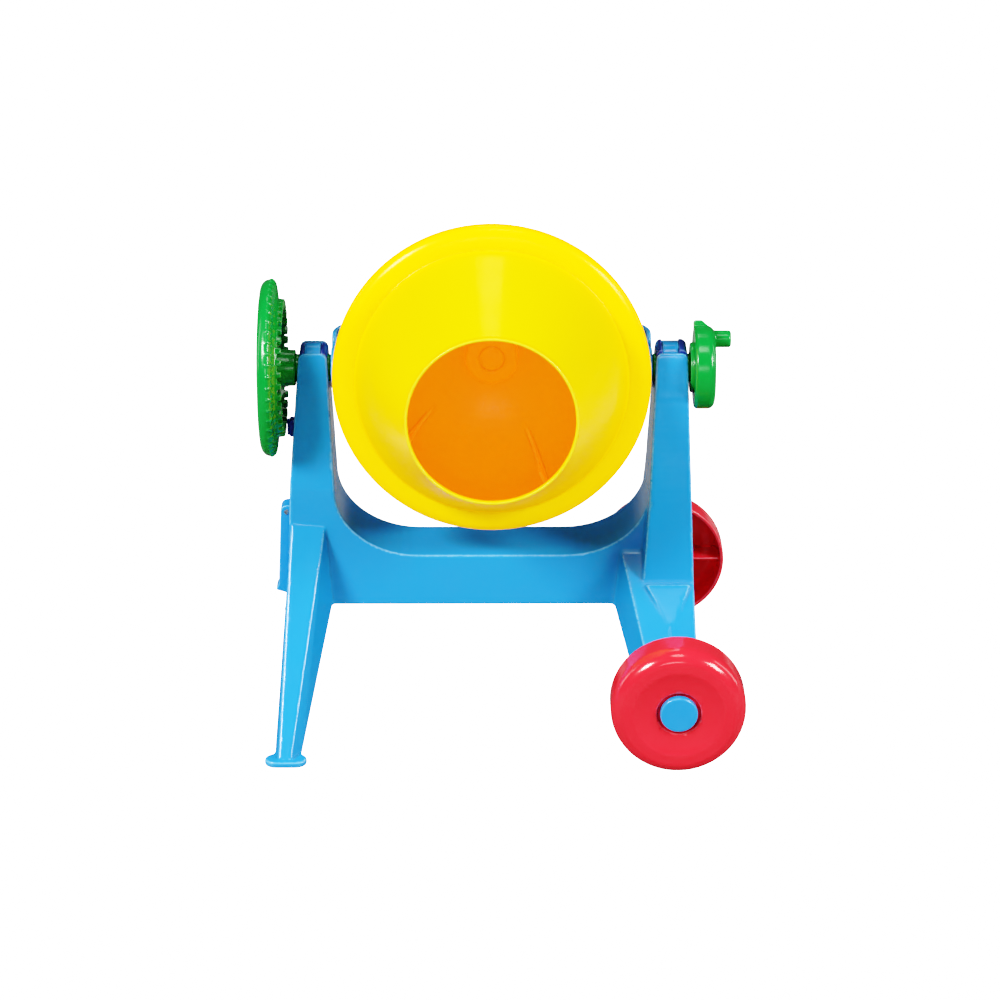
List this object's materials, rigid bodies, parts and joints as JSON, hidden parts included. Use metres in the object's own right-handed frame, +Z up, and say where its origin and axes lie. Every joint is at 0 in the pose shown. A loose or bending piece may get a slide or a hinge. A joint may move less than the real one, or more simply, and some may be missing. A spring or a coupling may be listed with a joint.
{
  "type": "toy cement mixer",
  "caption": "Toy cement mixer: a two-part drum in a tilting yoke on a moulded cradle with feet and road wheels, turned by a hand crank through a crown gear.",
  "frame": {"origin": "on the ground, under the middle of the whole toy's box", "axes": "+Z up, +X from the feet and tilt wheel to the crank and road wheels, -Y forward: the drum's mouth faces -Y"},
  "size_m": [0.3597, 0.3094, 0.3842],
  "materials": {
    "blue_plastic": "bright blue injection-moulded polypropylene, satin gloss",
    "navy_plastic": "dark blue injection-moulded plastic",
    "green_plastic": "green injection-moulded polypropylene, satin gloss",
    "yellow_plastic": "lemon yellow moulded plastic, satin gloss",
    "orange_plastic": "orange moulded plastic, satin gloss",
    "red_plastic": "red moulded plastic, gloss",
    "zinc_steel": "zinc plated steel fasteners"
  },
  "bodies": {
    "cradle": {"cradle_frame": "blue_plastic", "left_bearing_cap": "navy_plastic", "right_bearing_cap": "navy_plastic", "left_bearing_strap": "blue_plastic", "right_bearing_strap": "blue_plastic", "side_grip": "blue_plastic", "side_grip_pin": "zinc_steel", "front_axle_plug": "blue_plastic", "rear_axle_plug": "blue_plastic"},
    "catch": {"index_pawl": "navy_plastic"},
    "front_wheel": {"front_wheel": "red_plastic"},
    "rear_wheel": {"rear_wheel": "red_plastic"},
    "yoke": {"yoke": "blue_plastic", "yoke_washer": "zinc_steel", "drum_spindle": "zinc_steel", "spindle_nut": "zinc_steel", "handwheel": "green_plastic", "handwheel_screw": "zinc_steel"},
    "drum": {"drum_bowl": "orange_plastic", "drum_cone": "yellow_plastic", "crown_gear": "orange_plastic", "hub_cap": "orange_plastic"},
    "crank": {"crank_wheel": "green_plastic", "crank_pinion": "green_plastic", "pinion_screw": "zinc_steel"}
  },
  "joints": [
    {"name": "yoke_tilt", "type": "hinge", "parent": "cradle", "child": "yoke", "pos_m": [-0.00735, 0, 0.264], "axis": [1, 0, 0], "range_deg": [-70, 50]},
    {"name": "drum_spin", "type": "hinge", "parent": "yoke", "child": "drum", "pos_m": [-0.00735, 0, 0.264], "axis": [0, -0.9982, 0.0593], "continuous": true},
    {"name": "crank_turn", "type": "hinge", "parent": "yoke", "child": "crank", "pos_m": [0.13, 0, 0.264], "axis": [1, 0, 0], "continuous": true},
    {"name": "front_wheel_spin", "type": "hinge", "parent": "cradle", "child": "front_wheel", "pos_m": [0.12985, -0.135, 0.05], "axis": [0, 1, 0], "continuous": true},
    {"name": "rear_wheel_spin", "type": "hinge", "parent": "cradle", "child": "rear_wheel", "pos_m": [0.12985, 0.135, 0.05], "axis": [0, 1, 0], "continuous": true},
    {"name": "catch_slide", "type": "slide", "parent": "cradle", "child": "catch", "axis": [-1, 0, 0], "range_m": [0, 0.0024]}
  ],
  "couplings": [
    {"joint": "crank_turn", "follows": "drum_spin", "ratio": -6}
  ]
}
